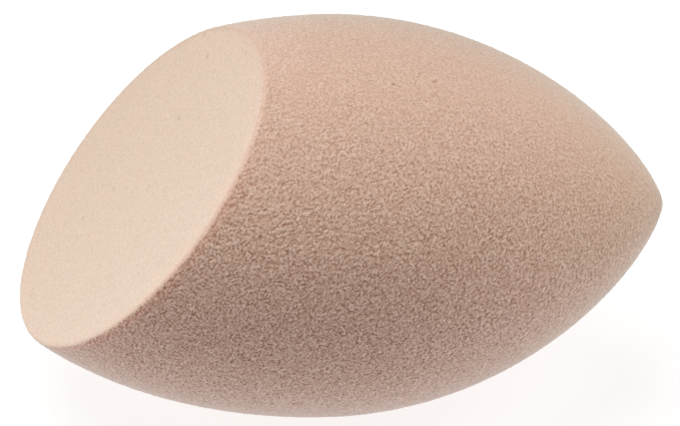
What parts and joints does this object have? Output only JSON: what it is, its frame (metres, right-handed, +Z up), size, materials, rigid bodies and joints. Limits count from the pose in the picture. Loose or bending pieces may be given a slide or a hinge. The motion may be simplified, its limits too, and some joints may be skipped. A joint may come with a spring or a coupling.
{
  "type": "makeup sponge",
  "caption": "Drop-shaped foam make-up sponge with a slanted flat slice at its fat end, lying on its belly.",
  "frame": {"origin": "on the surface that the sponge lies on, under the middle of its widest ring", "axes": "+X along the drop's long axis towards its tip, +Z up, the slice looks up and towards -X, and the two halves mirror in the plane Y = 0"},
  "size_m": [0.0645, 0.04, 0.0395],
  "materials": {
    "foam": "matte"
  },
  "bodies": {
    "root": {"foam_body": "foam"}
  },
  "joints": []
}
